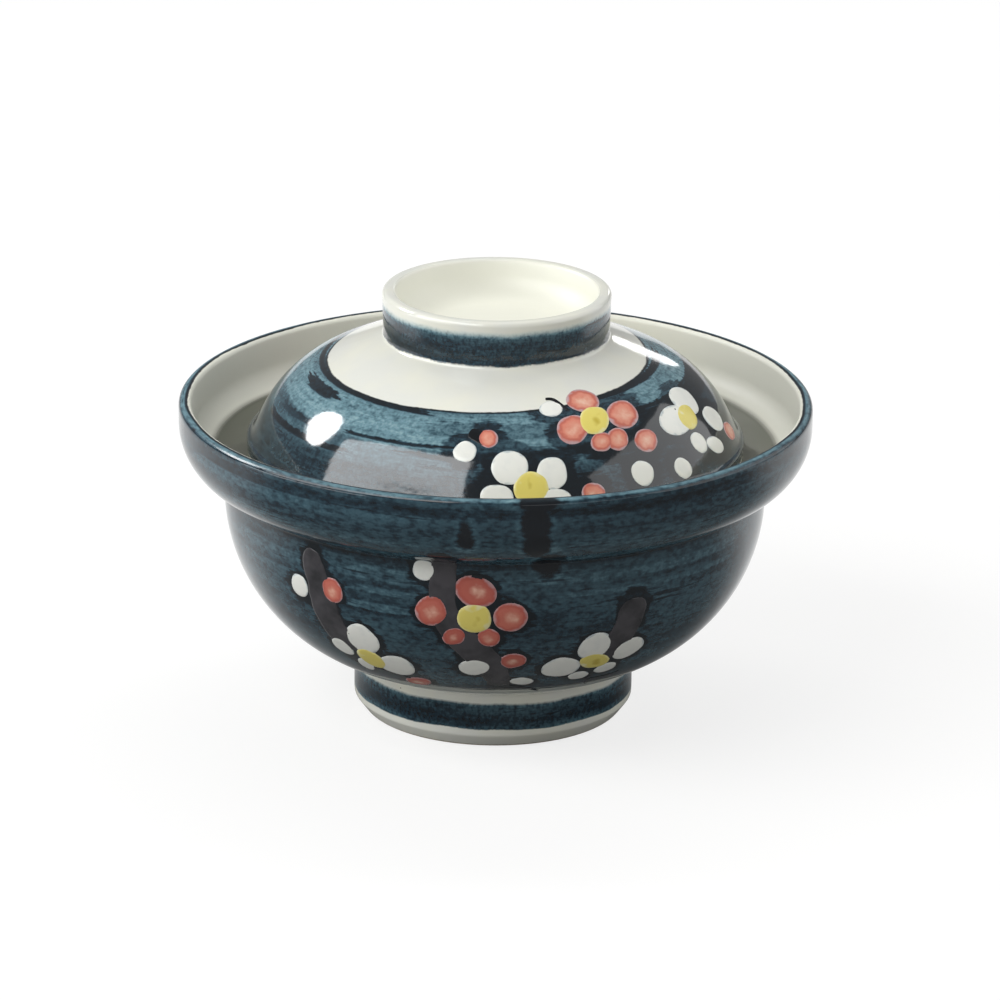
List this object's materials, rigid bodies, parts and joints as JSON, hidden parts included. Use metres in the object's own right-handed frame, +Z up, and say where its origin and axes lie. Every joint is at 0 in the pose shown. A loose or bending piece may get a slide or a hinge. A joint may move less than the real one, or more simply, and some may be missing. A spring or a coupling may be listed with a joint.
{
  "type": "lidded donburi bowl",
  "caption": "Deep footed ceramic bowl with a flared collar and a domed lid, whose grip ring lifts it off an inner ledge, for serving a covered dish of hot rice.",
  "frame": {"origin": "on the table under the middle of the foot ring", "axes": "+Z up along the turning axis of bowl and lid, -Y towards the side that the picture shows"},
  "size_m": [0.16, 0.16, 0.1101],
  "materials": {
    "indigo_glaze": "brushed indigo under clear gloss glaze",
    "white_glaze": "glossy cream white glaze",
    "white_enamel": "raised white slip under gloss glaze",
    "coral_enamel": "raised coral enamel",
    "yellow_enamel": "raised yellow enamel",
    "iron_brown": "iron brown brushwork under gloss glaze"
  },
  "bodies": {
    "bowl": {"bowl": "indigo_glaze"},
    "lid": {"lid": "indigo_glaze"}
  },
  "joints": [
    {"name": "lid_lift", "type": "slide", "parent": "bowl", "child": "lid", "axis": [0, 0, 1], "range_m": [0, 0.12]}
  ]
}
